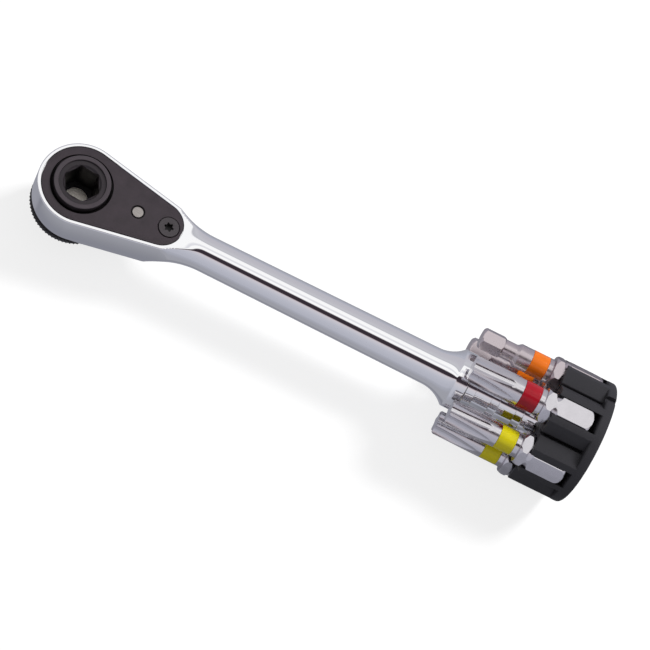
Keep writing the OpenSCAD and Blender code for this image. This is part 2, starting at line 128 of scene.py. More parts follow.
def joined(tree, kind, *sources, **values):
    """Output of a new node that takes the sources, outputs or numbers, in the order of its inputs."""
    node = add(tree, kind, **values)
    for source, socket in zip(sources, node.inputs):
        if isinstance(source, bpy.types.NodeSocket):
            tree.links.new(source, socket)
        else:
            socket.default_value = source
    return node.outputs[0]


def worked(tree, operation, *sources):
    """Result of a sum, product or other operation on the sources."""
    return joined(tree, "ShaderNodeMath", *sources, operation=operation)


def chosen(tree, choice, plain, other):
    """The plain shader where the choice is 0, and the other where it is 1."""
    return joined(tree, "ShaderNodeMixShader", choice, plain, other)


def ramp(tree, source, stops):
    """Colours that run over the source, each stop a position and a colour."""
    node = add(tree, "ShaderNodeValToRGB", Fac=source)
    elements = node.color_ramp.elements
    while len(elements) < len(stops):
        elements.new(0.5)
    for element, (position, colour) in zip(elements, stops):
        element.position = position
        element.color = (*colour, 1)
    return node.outputs[0]


world = bpy.data.worlds.new("studio")
scene.world = world
world.use_nodes = True
tree = world.node_tree
tree.nodes.clear()
way = add(tree, "ShaderNodeTexCoord").outputs["Generated"]
split = add(tree, "ShaderNodeSeparateXYZ", Vector=way)
angle = worked(tree, "ARCTAN2", split.outputs["Z"], split.outputs["Y"])
share = worked(tree, "DIVIDE", angle, math.pi)
strips = ramp(tree, share, [(height_deg / 180, colour) for height_deg, colour in studio_strips])
rays = add(tree, "ShaderNodeLightPath")
fill = add(tree, "ShaderNodeBackground", Color=fill_colour, Strength=fill_strength)
gloss = add(tree, "ShaderNodeBackground", Color=strips)
paper = add(tree, "ShaderNodeBackground", Color=paper_white)
lit = chosen(tree, rays.outputs["Is Glossy Ray"], fill.outputs[0], gloss.outputs[0])
seen = chosen(tree, rays.outputs["Is Camera Ray"], lit, paper.outputs[0])
add(tree, "ShaderNodeOutputWorld", Surface=seen)

for name, place, width, watts in lamps:
    lamp = bpy.data.lights.new(name, "AREA")
    lamp.size = width
    lamp.energy = watts
    holder = bpy.data.objects.new(name, lamp)
    holder.location = place
    holder.rotation_euler = (-Vector(place)).to_track_quat("-Z", "Y").to_euler()
    holder.visible_glossy = False
    scene.collection.objects.link(holder)

# Floor. Plain pale paper under the tool, which keeps a soft shadow and reads as white to the
# camera. Chrome sees it as a glow in greys that follow the distance from the tool's outline, a painted
# shade darkest a few millimetres out, and a painted shadow under the bits. From below it is clear.
floor_half = 2
floor_z = cad_box[0].z
floor_grey = 0.35
floor_glow = 0.75
glow_start = 0.25
glow_end = 0.9
head_lean = (0.98, 0.198)
head_shade_r = 8.5
handle_shade_r = 3.6
bits_shade_x = (0.084, 0.097)
bits_shade_side = (0.04, 0.08)
bits_shade = 0.48
tones_reach = 100
# Distance from the tool's outline in millimetres, and colour of the painted shade that chrome sees.
floor_shade_tones = (
    (0, (0.31, 0.315, 0.36)),
    (2, (0.295, 0.30, 0.345)),
    (3.2, (0.24, 0.245, 0.285)),
    (4.4, (0.235, 0.24, 0.28)),
    (5.4, (0.265, 0.27, 0.305)),
    (7.5, (0.345, 0.35, 0.39)),
    (20, (0.345, 0.35, 0.395)),
    (36, (0.38, 0.39, 0.45)),
    (100, (0.45, 0.46, 0.53)),
)


def rising(tree, source, start, end, low, high):
    """Goes from low to high while the source goes from start to end."""
    node = add(tree, "ShaderNodeMapRange", Value=source, From_Min=start, From_Max=end)
    return feed(node, To_Min=low, To_Max=high).outputs[0]


corners = ((-1, -1), (1, -1), (1, 1), (-1, 1))
floor_mesh = bpy.data.meshes.new("floor")
floor_mesh.from_pydata([(x * floor_half, y * floor_half, floor_z) for x, y in corners], [], [(0, 1, 2, 3)])
floor = bpy.data.objects.new("floor", floor_mesh)
scene.collection.objects.link(floor)

floor_paint = bpy.data.materials.new("floor_paint")
floor_paint.use_nodes = True
tree = floor_paint.node_tree
tree.nodes.clear()
rays = add(tree, "ShaderNodeLightPath")
where = add(tree, "ShaderNodeNewGeometry")
parts = add(tree, "ShaderNodeSeparateXYZ", Vector=where.outputs["Position"])
length = add(tree, "ShaderNodeVectorMath", operation="LENGTH", Vector=where.outputs["Position"])
paleness = rising(tree, length.outputs["Value"], glow_start, glow_end, floor_glow, 1)
glow_strength = worked(tree, "MULTIPLY", rays.outputs["Is Camera Ray"], paleness)
glow = add(tree, "ShaderNodeEmission", Strength=glow_strength)
matt = add(tree, "ShaderNodeBsdfDiffuse", Color=(floor_grey, floor_grey, floor_grey, 1))
both = joined(tree, "ShaderNodeAddShader", matt.outputs[0], glow.outputs[0])

# Painted shade that chrome sees: grey tones by the distance from the outline of the head and the handle.
aside = worked(tree, "ABSOLUTE", parts.outputs["Y"])
ahead = worked(tree, "MINIMUM", parts.outputs["X"], 0)
behind = worked(tree, "MAXIMUM", parts.outputs["X"], 0)
leaning = worked(tree, "MULTIPLY", behind, head_lean[1])
spread_out = worked(tree, "MULTIPLY_ADD", aside, head_lean[0], leaning)
squares = worked(tree, "ADD", worked(tree, "POWER", ahead, 2), worked(tree, "POWER", spread_out, 2))
from_head = worked(tree, "SUBTRACT", worked(tree, "SQRT", squares), head_shade_r * mm)
from_handle = worked(tree, "SUBTRACT", aside, handle_shade_r * mm)
nearest = worked(tree, "MINIMUM", from_head, from_handle)
share = worked(tree, "MULTIPLY", nearest, 1 / (tones_reach * mm))
tones = ramp(tree, share, [(distance / tones_reach, colour) for distance, colour in floor_shade_tones])
# Painted shadow: the glow that chrome sees is dimmed under the bits.
under_bits = rising(tree, parts.outputs["X"], *bits_shade_x, 0, 1)
painted_bits_shadow = rising(tree, aside, *bits_shade_side, -bits_shade, 0)
strength = worked(tree, "ADD", worked(tree, "MULTIPLY", under_bits, painted_bits_shadow), 1)
painted_shade_glow = add(tree, "ShaderNodeEmission", Color=tones, Strength=strength)
clear = add(tree, "ShaderNodeBsdfTransparent")
from_above = chosen(tree, rays.outputs["Is Glossy Ray"], both, painted_shade_glow.outputs[0])
from_all = chosen(tree, where.outputs["Backfacing"], from_above, clear.outputs[0])
add(tree, "ShaderNodeOutputMaterial", Surface=from_all)
floor.data.materials.append(floor_paint)


# Forged body. One piece of steel from the round nose to the stem under the carousel: pressed,
# ground flat on the head's faces, turned from the neck on, then polished and chrome plated.
head_r = -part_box("ratchet_body")[0].x / mm
head_h = 8
taper = math.radians(11.4)
edge_r = 0.28
low_edge_r = 0.3
edge_hold = 0.05
axis_drop = 3.2
neck_x = 27
neck_arc_r = 16.8
neck_half_w = 4.75
neck_blend = 0.15
flats_end_x = 21.3
flats_run = 5
flats_blend = 0.12
handle_r = 3.6
handle_end_r = 3.85
flare_x = 75.2
collar_x = 80.2
collar_end_x = 82.8
collar_r = 6
back_ring_end_x = 84.7
back_ring_r = 5.35
back_ring_end_r = 5.15
step_x = 0.02
stem_r = 4.4
stem_groove_r = 3.9
stem_groove_w = 1.7
stem_grooves_x = (88.2, 93.4)
ring_seat_x = 102.8
ring_seat_levels = ((-0.52, stem_r), (-0.35, 4.0), (0, 3.88), (0.35, 4.0), (0.52, stem_r))
stem_end_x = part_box("ratchet_body")[1].x / mm
weld_reach = 0.0005
nose_steps = 44
flank_steps = 140
top_steps = 24
side_steps = 18
round_steps = 6
flare_steps = 12


def skin(rings):
    """Points and faces of a closed skin over rings of equally many points, in millimetres."""
    count = len(rings[0])
    points = [p for ring in rings for p in ring]
    faces = []
    for row in range(len(rings) - 1):
        for i in range(count):
            a = row * count + i
            b = row * count + (i + 1) % count
            faces.append((a, b, b + count, a + count))
    last = (len(rings) - 1) * count
    faces.append(tuple(reversed(range(count))))
    faces.append(tuple(range(last, last + count)))
    return points, faces


def add_mesh(name, rings):
    """A closed mesh object over the rings."""
    points, faces = skin(rings)
    mesh = bpy.data.meshes.new(name)
    mesh.from_pydata([Vector(p) * mm for p in points], [], faces)
    piece = bpy.data.objects.new(name, mesh)
    scene.collection.objects.link(piece)
    weld(piece)
    return piece


def weld(piece):
    """Joins doubled points and turns all faces outwards."""
    form = bmesh.new()
    form.from_mesh(piece.data)
    bmesh.ops.remove_doubles(form, verts=form.verts, dist=weld_reach * mm)
    bmesh.ops.dissolve_degenerate(form, edges=form.edges, dist=weld_reach * mm)
    bmesh.ops.recalc_face_normals(form, faces=form.faces)
    form.to_mesh(piece.data)
    form.free()


def take_modifiers(piece):
    """Makes what the modifiers show the piece's own mesh."""
    graph = bpy.context.evaluated_depsgraph_get()
    made = bpy.data.meshes.new_from_object(piece.evaluated_get(graph))
    piece.modifiers.clear()
    piece.data = made


def carve(piece, tool, how="DIFFERENCE"):
    """Cuts the tool out of the piece, or joins it on, and puts the tool away."""
    step = piece.modifiers.new("carve", "BOOLEAN")
    step.operation = how
    step.solver = "EXACT"
    step.object = tool
    take_modifiers(piece)
    bpy.data.objects.remove(tool)


def finish_piece(piece, paint, body, node, sharp_deg=32):
    """Shades the piece, paints it, hangs it on the body it moves with and hides the node it stands for."""
    form = bmesh.new()
    form.from_mesh(piece.data)
    gaps = [edge for edge in form.edges if edge.is_boundary]
    bmesh.ops.holes_fill(form, edges=gaps, sides=4)
    for face in form.faces:
        face.smooth = True
    for edge in form.edges:
        edge.smooth = len(edge.link_faces) == 2 and edge.calc_face_angle() < math.radians(sharp_deg)
    form.to_mesh(piece.data)
    form.free()
    piece.data.materials.clear()
    piece.data.materials.append(paint)
    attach(piece, body)
    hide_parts(node)


def circle(x, r, z, count=96):
    """Ring of points on a level circle about an upright axis at x."""
    turns = [2 * math.pi * i / count for i in range(count)]
    return [(x + r * math.cos(t), r * math.sin(t), z) for t in turns]


def turned_part(name, levels, x=0, count=96):
    """Round piece about an upright axis at x, each of its levels a radius and a height."""
    return add_mesh(name, [circle(x, r, z, count) for r, z in levels])


def drill(piece, x, r, low, high, count=96):
    """Drills a round hole from low to high."""
    carve(piece, turned_part("cutter", ((r, low), (r, high)), x, count))


def rounded(corners, steps=6):
    """Line through corners (a, b, fillet radius), with each corner that has a radius rounded."""
    line = []
    for i, (a, b, r) in enumerate(corners):
        here = Vector((a, b))
        if not r or i in (0, len(corners) - 1):
            line.append(tuple(here))
            continue
        back = (Vector(corners[i - 1][:2]) - here).normalized()
        on = (Vector(corners[i + 1][:2]) - here).normalized()
        half = back.angle(on) / 2
        reach = r / math.tan(half)
        middle = here + (back + on).normalized() * (r / math.sin(half))
        start = here + back * reach - middle
        end = here + on * reach - middle
        sweep = start.angle_signed(end)
        for k in range(steps + 1):
            t = -sweep * k / steps
            turn = Vector((start.x * math.cos(t) - start.y * math.sin(t),
                           start.x * math.sin(t) + start.y * math.cos(t)))
            line.append(tuple(middle + turn))
    return line


def soft_min(a, b, width):
    """The lesser of the two, eased over where they come within the width of each other."""
    near = max(width - abs(a - b), 0)
    return min(a, b) - near * near / (4 * width)


def soft_max(a, b, width):
    """The greater of the two, eased in the same way."""
    return -soft_min(-a, -b, width)


def ease(share):
    """Goes from 0 to 1 with a gentle start and end."""
    share = min(max(share, 0), 1)
    return share * share * (3 - 2 * share)


def half_section(px, py, nx, ny):
    """One side of the head's section, from the middle of its top face to the middle of its bottom."""
    inset = edge_r + edge_hold
    ex, ey = px + nx * inset, py + ny * inset
    ey = max(ey, 0)
    points = []
    lean = math.atan2(ey, axis_drop)
    for i in range(top_steps):
        points.append((ex, axis_drop * math.tan(lean * i / top_steps), 0))
    rim = [(inset, 0)]
    for i in range(round_steps + 1):
        t = math.pi / 2 * i / round_steps
        rim.append((edge_r * (1 - math.sin(t)), -edge_r * (1 - math.cos(t))))
    wall_h = head_h - inset - low_edge_r - edge_hold
    for i in range(side_steps + 1):
        rim.append((0, -inset - wall_h * i / side_steps))
    for i in range(round_steps + 1):
        t = math.pi / 2 * i / round_steps
        rim.append((low_edge_r * (1 - math.cos(t)), -head_h + low_edge_r * (1 - math.sin(t))))
    low_inset = low_edge_r + edge_hold
    rim.append((low_inset, -head_h))
    points += [(px + nx * d, py + ny * d, z) for d, z in rim]
    drop = head_h - axis_drop
    ex, ey = px + nx * low_inset, max(py + ny * low_inset, 0)
    lean = math.atan2(ey, drop)
    for i in reversed(range(top_steps)):
        points.append((ex, drop * math.tan(lean * i / top_steps), -head_h))
    return points


def forged(x, y, z):
    """Draws a point of the plain head in to the hollow neck, and lets the flats run into the round."""
    up = z + axis_drop
    r = math.hypot(y, up)
    if x <= neck_x - neck_arc_r or r == 0:
        return (x, y, z)
    limit = handle_r + neck_arc_r - math.sqrt(neck_arc_r ** 2 - max(neck_x - x, 0) ** 2)
    drawn = soft_min(r, limit, flats_blend)
    drawn += (limit - drawn) * ease((x - flats_end_x) / flats_run)
    return (x, y * drawn / r, up * drawn / r - axis_drop)


def whole_ring(half):
    """The half section with its mirror image."""
    return half + [(x, -y, z) for x, y, z in reversed(half[1:-1])]


stations = []
for i in range(nose_steps + 1):
    t = (math.pi / 2 + taper) * i / nose_steps
    stations.append((-head_r * math.cos(t), head_r * math.sin(t), math.cos(t), -math.sin(t)))
tangent_x = head_r * math.sin(taper)
for i in range(1, flank_steps + 1):
    x = tangent_x + (neck_x - tangent_x) * i / flank_steps
    line_y = (head_r - x * math.sin(taper)) / math.cos(taper)
    stations.append((x, soft_max(line_y, neck_half_w, neck_blend), -math.sin(taper), -math.cos(taper)))
rings = [whole_ring([forged(*p) for p in half_section(*s)]) for s in stations]
ways = [Vector((y, z + axis_drop)).normalized() for x, y, z in rings[-1]]

rise = collar_r - handle_end_r
run = collar_x - flare_x
flare_r = (rise * rise + run * run) / (2 * rise)
profile = [(neck_x + 0.5, handle_r, 0), (flare_x, handle_end_r, 0)]
for i in range(1, flare_steps):
    x = run * i / flare_steps
    profile.append((flare_x + x, handle_end_r + flare_r - math.sqrt(flare_r ** 2 - x * x), 0))
profile += [
    (collar_x, collar_r, 0.5), (collar_end_x, collar_r, 0.5), (collar_end_x + step_x, back_ring_r, 0.05),
    (back_ring_end_x, back_ring_end_r, 0.1), (back_ring_end_x + step_x, stem_r, 0.1),
]
for x in stem_grooves_x:
    end_x = x + stem_groove_w
    profile += [
        (x, stem_r, 0.07), (x + step_x, stem_groove_r, 0.1),
        (end_x - step_x, stem_groove_r, 0.1), (end_x, stem_r, 0.07),
    ]
profile += [(ring_seat_x + x, r, 0) for x, r in ring_seat_levels]
profile.append((stem_end_x, stem_r, 0))
for x, r in rounded(profile):
    rings.append([(x, w.x * r, w.y * r - axis_drop) for w in ways])
chromed_body = add_mesh("chromed_body", rings)

# The pocket for the cover plate.
rim_w = 0.82
plate_r = head_r - rim_w
plate_tail_x = 16.6
plate_t = 1.2
plate_gap = 0.1
pocket_gap = plate_gap + 0.06
big_end_steps = 72
small_end_steps = 32


def teardrop(grow, z):
    """Outline of the cover plate: a big and a small round end with straight sides that touch both."""
    big = plate_r + grow
    small = plate_r - plate_tail_x * math.sin(taper) + grow
    start = math.pi / 2 - taper
    points = []
    for i in range(big_end_steps + 1):
        t = start + (2 * math.pi - 2 * start) * i / big_end_steps
        points.append((big * math.cos(t), big * math.sin(t), z))
    for i in range(small_end_steps + 1):
        t = -start + 2 * start * i / small_end_steps
        points.append((plate_tail_x + small * math.cos(t), small * math.sin(t), z))
    return points


above_z = 0.5
pocket_levels = ((plate_gap, -plate_t), (plate_gap, -0.05), (pocket_gap, 0.02), (pocket_gap, above_z))
carve(chromed_body, add_mesh("cutter", [teardrop(grow, z) for grow, z in pocket_levels]))

# The thumb relief under the nose.
relief_end_x = 7
relief_r = 8.95
relief_depth = 1.7
relief_floor_r = 8.25
relief_floor_depth = 1.35
relief_steps = 160
below_z = -9


def slanted(r, depth):
    """Ring of the thumb relief, that deep at the nose and gone beside the wheel."""
    share = depth / (head_r + relief_end_x)
    return [(x, y, -head_h + (relief_end_x - x) * share) for x, y, z in circle(0, r, 0, relief_steps)]


carve(chromed_body, add_mesh("cutter", [
    circle(0, relief_r, below_z, relief_steps), slanted(relief_r, relief_depth),
    slanted(relief_floor_r, relief_floor_depth),
]))

# The room for gear and pawl, and the bores for spigot, lever shaft and screw.
pin_x = 11.8
screw_x = 18.3
room = (-7, -0.6)
bore = (below_z, -6)
gear_room_r = 6.3
spigot_bore_r = 4.9
pawl_room_r = 3.3
pin_bore_r = 1.15
screw_bore_r = 1.02
screw_bore_z = -4.22
drill(chromed_body, 0, gear_room_r, *room)
drill(chromed_body, 0, spigot_bore_r, *bore)
drill(chromed_body, pin_x, pawl_room_r, *room)
drill(chromed_body, pin_x, pin_bore_r, *bore)
drill(chromed_body, screw_x, screw_bore_r, screw_bore_z, room[1])


def new_paint(name):
    """A new material, its shader and its tree."""
    paint = bpy.data.materials.new(name)
    paint.use_nodes = True
    return paint, paint.node_tree.nodes["Principled BSDF"], paint.node_tree


def place_of(tree, stretch=(1, 1, 1)):
    """Place on the piece in metres, stretched along its axes."""
    where = add(tree, "ShaderNodeTexCoord").outputs["Object"]
    return add(tree, "ShaderNodeMapping", Vector=where, Scale=stretch).outputs[0]


def noise(tree, place, scale, detail):
    """Cloudy values over the place, with that many clouds to a metre."""
    return add(tree, "ShaderNodeTexNoise", Vector=place, Scale=scale, Detail=detail).outputs["Fac"]


def spread(tree, source, low, high):
    """Turns a noise into values from low to high."""
    return rising(tree, source, 0.35, 0.65, low, high)


def emboss(tree, shader, height, strength, distance):
    """Raises and lowers the surface with the height."""
    bump = add(tree, "ShaderNodeBump", Height=height, Strength=strength, Distance=distance)
    feed(shader, Normal=bump.outputs[0])


def chrome_paint():
    """Bright plating over polished steel: faint ripples, and fine wiping marks in the gloss."""
    paint, shader, tree = new_paint("chrome")
    wipe = noise(tree, place_of(tree, (0.15, 1, 1)), 900, 4)
    ripple = noise(tree, place_of(tree, (0.4, 1, 1)), 260, 1)
    feed(shader, Base_Color=(0.95, 0.95, 0.96, 1), Metallic=1, Roughness=spread(tree, wipe, 0.035, 0.07))
    emboss(tree, shader, ripple, 0.04, 0.0001)
    return paint


finish_piece(chromed_body, chrome_paint(), "handle", "ratchet_body")


# Cover plate. A stamped steel teardrop, blackened, that closes the head and lies flush in it.
# It has a bore for the boss of the gear, a hole for the lever shaft and a countersunk hole.
plate_round = 0.1
plate_levels = (
    (-0.03, -plate_t + 0.01), (0, -plate_t + 0.04), (0, -plate_round), (-0.03, -0.03), (-plate_round, 0),
)
under_plate_z = -2
over_plate_z = 1
boss_bore_r = 5.6
boss_bore_top_r = 6.12
boss_bore_levels = (
    (boss_bore_r, under_plate_z), (boss_bore_r, -0.95), (boss_bore_top_r, -0.75),
    (boss_bore_top_r, over_plate_z),
)
pin_hole_r = 1.16
pin_sink_r = 1.4
pin_sink_z = -0.45
countersink_levels = ((1.05, under_plate_z), (1.05, -1.15), (2.3, 0.1))


def oxide_paint(name, colour, grain):
    """Blackened steel: satin, slightly brown and mottled, with painted light on top faces above 0.8 mm and
    painted shade below its top face, in recesses and on parts under the head.
    """
    paint, shader, tree = new_paint(name)
    place = place_of(tree)
    cloud = noise(tree, place, 350, 5)
    height = add(tree, "ShaderNodeSeparateXYZ", Vector=place).outputs["Z"]
    # Painted shade: the colour goes dark below the head's top face, in recesses and on the parts under the
    # head.
    mottle_with_painted_shade = worked(tree, "MULTIPLY", cloud, rising(tree, height, -0.0006, -0.00003, 0, 1))
    # Painted light: faces higher than 0.8 mm, the top of the gear's boss, are made lighter.
    mottle_with_painted_light_and_shade = worked(tree, "MAXIMUM", mottle_with_painted_shade, rising(tree, height, 0.0008, 0.00098, 0, 1))
    shares = ((0, 0.2), (0.3, 0.8), (0.7, 1.2), (1, 2.2))
    tone = ramp(tree, mottle_with_painted_light_and_shade, [(position, [c * share for c in colour]) for position, share in shares])
    feed(shader, Base_Color=tone, Metallic=0.35, Roughness=spread(tree, cloud, 0.36, 0.5))
    emboss(tree, shader, noise(tree, place, 9000, 2), grain, 0.00002)
    return paint


plate = add_mesh("blackened_plate", [teardrop(grow, z) for grow, z in plate_levels])
carve(plate, turned_part("cutter", boss_bore_levels))
drill(plate, pin_x, pin_hole_r, under_plate_z, over_plate_z, 48)
drill(plate, pin_x, pin_sink_r, pin_sink_z, over_plate_z, 48)
carve(plate, turned_part("cutter", countersink_levels, screw_x))
plate_oxide = oxide_paint("plate_oxide", (0.052, 0.041, 0.048), 0.8)
finish_piece(plate, plate_oxide, "handle", "cover_plate")


# Cover screw. A small countersunk machine screw, blackened, with a socket of six lobes.
# It holds down the tail of the cover plate.
screw_levels = rounded([
    (0.3, -4.2, 0), (0.85, -4.2, 0.1), (1.0, -4.0, 0), (1.0, -1.1, 0.05), (1.98, 0, 0.05),
    (1.98, 0.14, 0.08), (0.5, 0.12, 0),
])
lobes = 6
lobe_middle_r = 0.82
lobe_swing = 0.15
lobe_steps = 96
lobe_heights = (-0.9, 0.5)
screw = turned_part("plate_screw", screw_levels, screw_x, 72)
lobe_line = []
for i in range(lobe_steps):
    t = 2 * math.pi * i / lobe_steps
    r = lobe_middle_r + lobe_swing * math.cos(lobes * t)
    lobe_line.append((screw_x + r * math.cos(t), r * math.sin(t)))
carve(screw, add_mesh("cutter", [[(x, y, z) for x, y in lobe_line] for z in lobe_heights]))
screw_oxide = oxide_paint("screw_oxide", (0.072, 0.063, 0.068), 0.8)
finish_piece(screw, screw_oxide, "handle", "cover_screw")


# Drive gear. One turned and milled part: the toothed gear inside, the boss with its recess that
# stands out of the plate, the hexagonal socket for the bits and the spigot for the thumb wheel.
gear_r = 5.95
tooth_depth = 0.4
teeth = 48
tooth_steps = 6
gear_heights = (-6.95, -1.25)
spigot_levels = rounded([
    (0.5, -9.65, 0), (3.6, -9.65, 0.1), (3.6, -8.05, 0), (4.85, -8.05, 0.05), (4.85, -6.95, 0),
])
boss_levels = rounded([
    (5.5, -1.25, 0), (5.5, 1.0, 0.14), (4.6, 1.0, 0.1), (4.55, 0.6, 0.1), (0.5, 0.6, 0),
])
socket_r = 6.45 / math.sqrt(3)
socket_turn = math.radians(-4.5)
socket_heights = (-7, 1.5)
lead_in_levels = ((socket_r - 0.35, 0.25), (socket_r + 0.05, 0.65))
magnet_seat_r = 2.42
magnet_seat = (-8.5, -6.5)


def toothed(r, depth, count, z):
    """Ring with pointed notches all round it."""
    points = []
    for i in range(count * tooth_steps):
        t = 2 * math.pi * i / (count * tooth_steps)
        wave = abs((i % tooth_steps) / tooth_steps - 0.5) * 2
        here = r - depth * (1 - wave)
        points.append((here * math.cos(t), here * math.sin(t), z))
    return points


def socket_ring(z):
    """The socket's hexagon at that height."""
    turns = [socket_turn + k * math.pi / 3 for k in range(6)]
    return [(socket_r * math.cos(t), socket_r * math.sin(t), z) for t in turns]


gear_rings = [circle(0, r, z, teeth * tooth_steps) for r, z in spigot_levels]
gear_rings += [toothed(gear_r, tooth_depth, teeth, z) for z in gear_heights]
gear_rings += [circle(0, r, z, teeth * tooth_steps) for r, z in boss_levels]
gear = add_mesh("socket_gear", gear_rings)
carve(gear, add_mesh("cutter", [socket_ring(z) for z in socket_heights]))
carve(gear, turned_part("cutter", lead_in_levels))
drill(gear, 0, magnet_seat_r, *magnet_seat)
gear_oxide = oxide_paint("gear_oxide", (0.034, 0.028, 0.032), 0.6)
finish_piece(gear, gear_oxide, "drive", "drive_gear", sharp_deg=28)


# Socket magnet. A nickel plated disc with a grainy face. It is pressed in at the bottom of the
# socket and holds the bit.
magnet_levels = rounded([(0.4, -8.5, 0), (2.4, -8.5, 0.15), (2.4, -7.0, 0.2), (0.4, -6.97, 0)])


def magnet_paint():
    """Nickel plating over the coarse grit of a pressed magnet."""
    paint, shader, tree = new_paint("magnet_nickel")
    grit = add(tree, "ShaderNodeTexVoronoi", Vector=place_of(tree), Scale=4200).outputs["Distance"]
    tone = ramp(tree, grit, ((0, (0.70, 0.64, 0.56)), (1, (0.98, 0.93, 0.85))))
    feed(shader, Base_Color=tone, Metallic=1, Roughness=0.42)
    emboss(tree, shader, grit, 0.6, 0.00005)
    return paint


magnet = turned_part("magnet_disc", magnet_levels, 0, 64)
finish_piece(magnet, magnet_paint(), "drive", "socket_magnet")


# Thumb wheel. A steel disc under the head with a knurled edge, blackened. It sits on the gear's
# spigot and spins the socket by hand.
wheel_r = 8.5
wheel_face_r = 8.25
knurls = 72
knurl_depth = 0.3
knurls_from_r = 8.3
wheel_levels = rounded([
    (3.65, -8.1, 0), (8.0, -8.1, 0), (wheel_r, -8.3, 0.06), (wheel_r, -9.5, 0.06),
    (wheel_face_r, -9.7, 0), (4.7, -9.7, 0.05), (4.6, -9.1, 0), (3.65, -9.1, 0),
])
wheel_rings = []
for r, z in wheel_levels:
    depth = knurl_depth if r > knurls_from_r else 0
    wheel_rings.append(toothed(r, depth, knurls, z))
wheel = add_mesh("knurled_wheel", wheel_rings)
wheel_oxide = oxide_paint("wheel_oxide", (0.058, 0.051, 0.054), 0.7)
finish_piece(wheel, wheel_oxide, "drive", "thumb_wheel", sharp_deg=25)


# Small steel parts. Retaining ring, lever shaft, pawl, ball and spring are ground bright, and the
# lever under the head is blackened. Lever and pawl are fixed on the shaft and turn with it.
pin_levels = rounded([(0.3, -9.65, 0), (1.1, -9.65, 0.12), (1.1, 0.0, 0.12), (0.3, 0.0, 0)])
broken_edge = 0.04
lever_round = 0.2


def ground_paint():
    """Ground steel with fine marks that run one way."""
    paint, shader, tree = new_paint("ground_steel")
    marks = noise(tree, place_of(tree, (0.08, 1, 1)), 5000, 3)
    tone = ramp(tree, marks, ((0.3, (0.36, 0.33, 0.31)), (0.7, (0.56, 0.52, 0.49))))
    feed(shader, Base_Color=tone, Metallic=1, Roughness=spread(tree, marks, 0.3, 0.45))
    emboss(tree, shader, marks, 0.4, 0.00002)
    return paint


def softened(name, node, width, segments):
    """Copy of a node with its sharp edges broken, as tumbling or grinding leaves them."""
    piece = bpy.data.objects.new(name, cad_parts[node].data.copy())
    scene.collection.objects.link(piece)
    form = bmesh.new()
    form.from_mesh(piece.data)
    bmesh.ops.remove_doubles(form, verts=form.verts, dist=0.001 * mm)
    bmesh.ops.dissolve_limit(form, angle_limit=math.radians(1), verts=form.verts, edges=form.edges)
    form.to_mesh(piece.data)
    form.free()
    step = piece.modifiers.new("edges", "BEVEL")
    step.width = width * mm
    step.segments = segments
    step.limit_method = "ANGLE"
    step.angle_limit = math.radians(40)
    step.use_clamp_overlap = True
    take_modifiers(piece)
    return piece


def paint_node(node, paint):
    """Paints a CAD node that keeps its own shape."""
    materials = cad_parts[node].data.materials
    materials.clear()
    materials.append(paint)


ground = ground_paint()
pin = turned_part("lever_pin", pin_levels, pin_x, 48)
finish_piece(pin, ground, "lever", "lever_shaft")
ring = softened("retaining_ring", "wheel_clip", broken_edge, 2)
finish_piece(ring, ground, "drive", "wheel_clip")
pawl = softened("ratchet_pawl", "pawl", broken_edge, 2)
finish_piece(pawl, ground, "lever", "pawl")
lever_oxide = oxide_paint("lever_oxide", (0.12, 0.105, 0.11), 0.6)
lever = softened("lever_tab", "reverse_lever", lever_round, 3)
finish_piece(lever, lever_oxide, "lever", "reverse_lever")
paint_node("detent_ball", ground)
paint_node("detent_spring", ground)


# Carousel. A moulded black nylon holder that turns on the stem: an end disc with a rounded rim,
# and six fingers, each a hexagonal sleeve that is open outwards and grips the shank of a bit.
pocket_count = 6
first_pocket = math.radians(96.3)
bit_ring_r = 9.4
finger_x = 98.4
disc_x = 107.2
disc_end_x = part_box("bit_carousel")[1].x / mm
disc_r = 12.7
disc_round = 0.65
disc_steps = 180
finger_r = 12.66
pocket_af = 6.45
finger_af = 8.75
lip_half_w = 1.95
groove_r = 8.25
groove_t = math.radians(27.7)
finger_round = 0.08
bore_r = 4.46
ring_room_r = 4.9
bore_levels = (
    (bore_r, finger_x - 1), (bore_r, 102.2), (ring_room_r, 102.4), (ring_room_r, 103.2),
    (bore_r, 103.4), (bore_r, 106.3),
)
notch_half_w = 0.65
notch_radii = (11.9, 14)


def finger_half():
    """Outline of half a pocket and its finger, from the groove beside it to the pocket's floor."""
    outer = finger_af / 2
    inner = pocket_af / 2
    middle_t = math.pi / pocket_count
    slope = math.tan(middle_t)
    share = 0.365
    rim_t = 0.22
    return [
        (groove_r * math.cos(middle_t), groove_r * math.sin(middle_t), 0),
        (groove_r * math.cos(groove_t), groove_r * math.sin(groove_t), 0.12),
        (bit_ring_r, 2 * outer * slope, 0.3),
        (bit_ring_r + outer * (1 - share), outer * slope * (1 + share), 0.25),
        (finger_r * math.cos(rim_t), finger_r * math.sin(rim_t), 0),
        (math.sqrt(finger_r ** 2 - lip_half_w ** 2), lip_half_w, 0.1),
        (bit_ring_r, 2 * inner * slope, 0.15),
        (bit_ring_r - inner, inner * slope, 0.15),
        (bit_ring_r - inner, 0, 0),
    ]


def turned(out, side, t):
    """Point that far out from the handle's axis and to the side, turned by t about the axis."""
    return (out * math.cos(t) - side * math.sin(t), out * math.sin(t) + side * math.cos(t))


def inset_line(line, depth):
    """The closed line moved in by depth, square to itself."""
    moved = []
    for i, here in enumerate(line):
        before = Vector(line[i - 1])
        after = Vector(line[(i + 1) % len(line)])
        along = (after - before).normalized()
        moved.append((here[0] + along.y * depth, here[1] - along.x * depth))
    return moved


def on_handle(line, x):
    """The line about the handle's axis, at x along it."""
    return [(x, a, b - axis_drop) for a, b in line]


